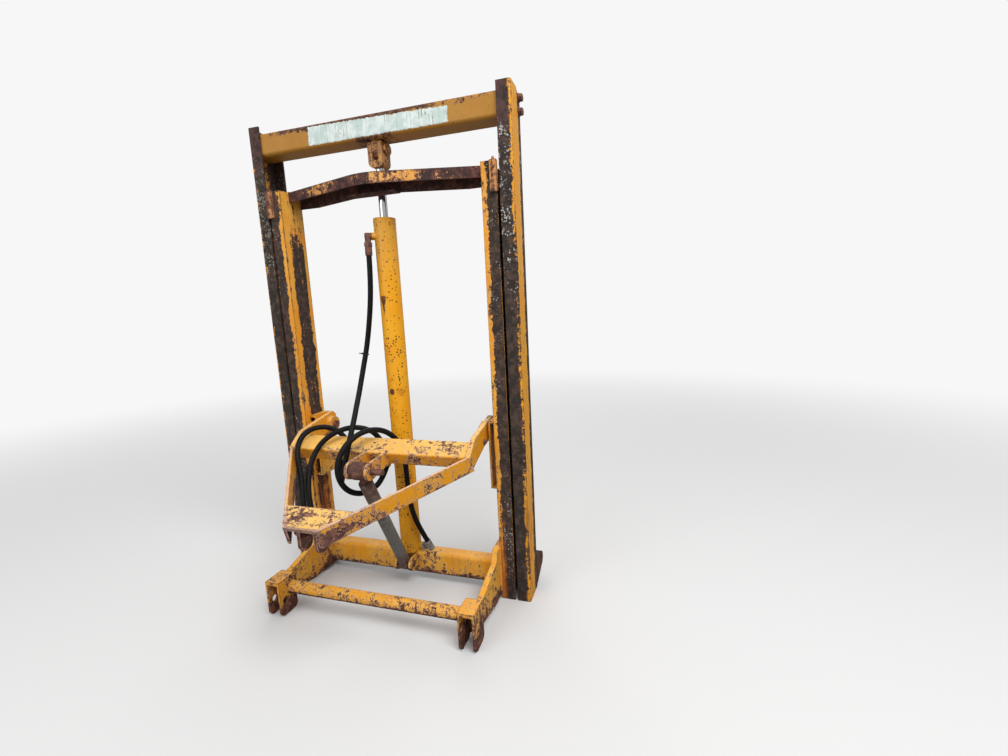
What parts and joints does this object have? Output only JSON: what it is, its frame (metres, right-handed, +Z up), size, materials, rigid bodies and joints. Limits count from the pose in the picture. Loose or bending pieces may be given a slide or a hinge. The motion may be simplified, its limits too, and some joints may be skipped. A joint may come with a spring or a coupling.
{
  "type": "bale mover",
  "caption": "Tractor-hitched bale mover with a sliding channel mast, central lift cylinder, tilting hitch frame and lower crossbar with link brackets.",
  "frame": {"origin": "middle of the footprint on the ground, the bottom centre of the bounding box", "axes": "+X to the right as seen from the tractor side, +Y from the tractor to the load, +Z up along the mast"},
  "size_m": [1.137, 0.83, 1.98],
  "materials": {
    "weathered_yellow": "faded and chipped yellow paint",
    "rusted_channel": "worn paint over dark brown rust",
    "rusted_steel": "rough purple-brown rust",
    "barrel_yellow": "smooth orange-yellow paint",
    "chromed_rod": "polished",
    "grey_tube": "dull bare steel",
    "black_rubber": "matt black hose rubber"
  },
  "bodies": {
    "fixed_mast": {"short_channel_left": "rusted_channel", "short_channel_right": "rusted_channel", "guide_block_left": "rusted_channel", "guide_block_right": "rusted_channel", "fixed_roller_left": "rusted_steel", "fixed_roller_right": "rusted_steel", "pivot_bracket_left": "weathered_yellow", "pivot_bracket_right": "weathered_yellow", "pivot_pin_left": "rusted_steel", "pivot_pin_right": "rusted_steel", "lower_arm_left": "weathered_yellow", "lower_arm_right": "weathered_yellow", "link_bracket_left": "weathered_yellow", "link_bracket_right": "weathered_yellow", "arched_crossmember": "rusted_channel", "bottom_crossmember": "weathered_yellow", "lower_crossbar": "weathered_yellow", "lift_barrel": "barrel_yellow", "tilt_foot_pin": "rusted_steel", "upper_port_fitting": "rusted_steel", "base_port_fitting": "rusted_steel", "long_hose": "black_rubber"},
    "lift_mast": {"tall_channel_left": "rusted_channel", "tall_channel_right": "rusted_channel", "lift_roller_left": "rusted_steel", "lift_roller_right": "rusted_steel", "fork_bracket_left": "weathered_yellow", "fork_bracket_right": "weathered_yellow", "top_crossbeam": "weathered_yellow", "rod_hanger": "weathered_yellow", "rod_clevis": "weathered_yellow", "clevis_pin": "rusted_steel", "lift_rod": "chromed_rod"},
    "tilt_frame": {"pivot_arm_left": "weathered_yellow", "pivot_arm_right": "weathered_yellow", "side_plate_left": "weathered_yellow", "side_plate_right": "weathered_yellow", "top_link_lug_left": "weathered_yellow", "top_link_lug_right": "weathered_yellow", "tilt_lug_left": "weathered_yellow", "tilt_lug_right": "weathered_yellow", "tilt_beam": "weathered_yellow", "apex_plate": "weathered_yellow", "tilt_pin": "rusted_steel", "hose_rail": "weathered_yellow", "hose_couplers": "rusted_steel", "loop_hose": "black_rubber", "inner_hose": "black_rubber", "outer_hose": "black_rubber"},
    "tilt_cylinder_barrel": {"tilt_barrel": "grey_tube"},
    "tilt_cylinder_rod": {"tilt_rod": "rusted_steel"}
  },
  "joints": [
    {"name": "mast_lift", "type": "slide", "parent": "fixed_mast", "child": "lift_mast", "axis": [0, 0, 1], "range_m": [0, 1.25]},
    {"name": "frame_tilt", "type": "hinge", "parent": "fixed_mast", "child": "tilt_frame", "pos_m": [0, 0.268, 0.7], "axis": [1, 0, 0], "range_deg": [-14, 2], "deforming": ["long_hose", "loop_hose"]},
    {"name": "tilt_cylinder_swing", "type": "hinge", "parent": "fixed_mast", "child": "tilt_cylinder_barrel", "pos_m": [0, 0.176, 0.1], "axis": [1, 0, 0], "range_deg": [-2.8, 0.5]},
    {"name": "tilt_cylinder_stroke", "type": "slide", "parent": "tilt_cylinder_barrel", "child": "tilt_cylinder_rod", "axis": [0, -0.4465, 0.8948], "range_m": [-0.0125, 0.0845]}
  ],
  "couplings": [
    {"joint": "tilt_cylinder_swing", "follows": "frame_tilt", "ratio": 0.188},
    {"joint": "tilt_cylinder_stroke", "follows": "frame_tilt", "m_per_rad": -0.34}
  ]
}
